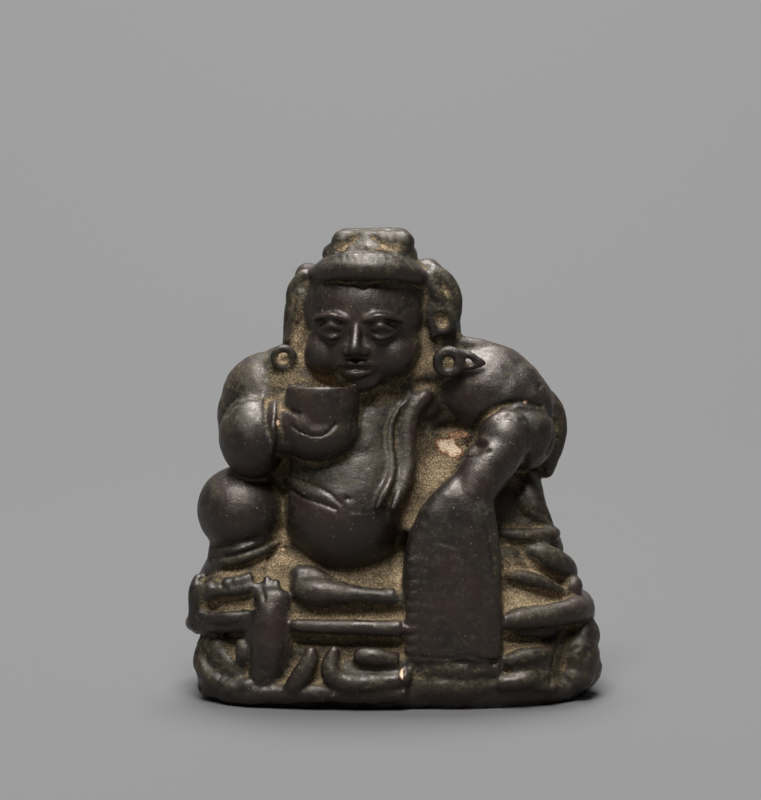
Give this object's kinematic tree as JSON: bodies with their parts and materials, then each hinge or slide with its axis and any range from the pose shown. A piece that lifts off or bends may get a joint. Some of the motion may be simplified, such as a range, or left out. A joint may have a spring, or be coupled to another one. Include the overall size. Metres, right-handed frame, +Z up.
{
  "type": "seated stone deity figure",
  "caption": "Small dark stone figure of a pot-bellied deity on a petalled seat, knee raised, with a cup in one hand and a long money bag in the other.",
  "frame": {"origin": "centre of the flat underside, on the surface that the figure stands on", "axes": "+Z up, the face looks along -Y, +X to the viewer's right, on the side of the money bag"},
  "size_m": [0.0615, 0.0357, 0.07],
  "materials": {
    "dark_stone": "dull polish on the high parts, pale dirt in the recesses"
  },
  "bodies": {
    "root": {"stone_figure": "dark_stone"}
  },
  "joints": []
}
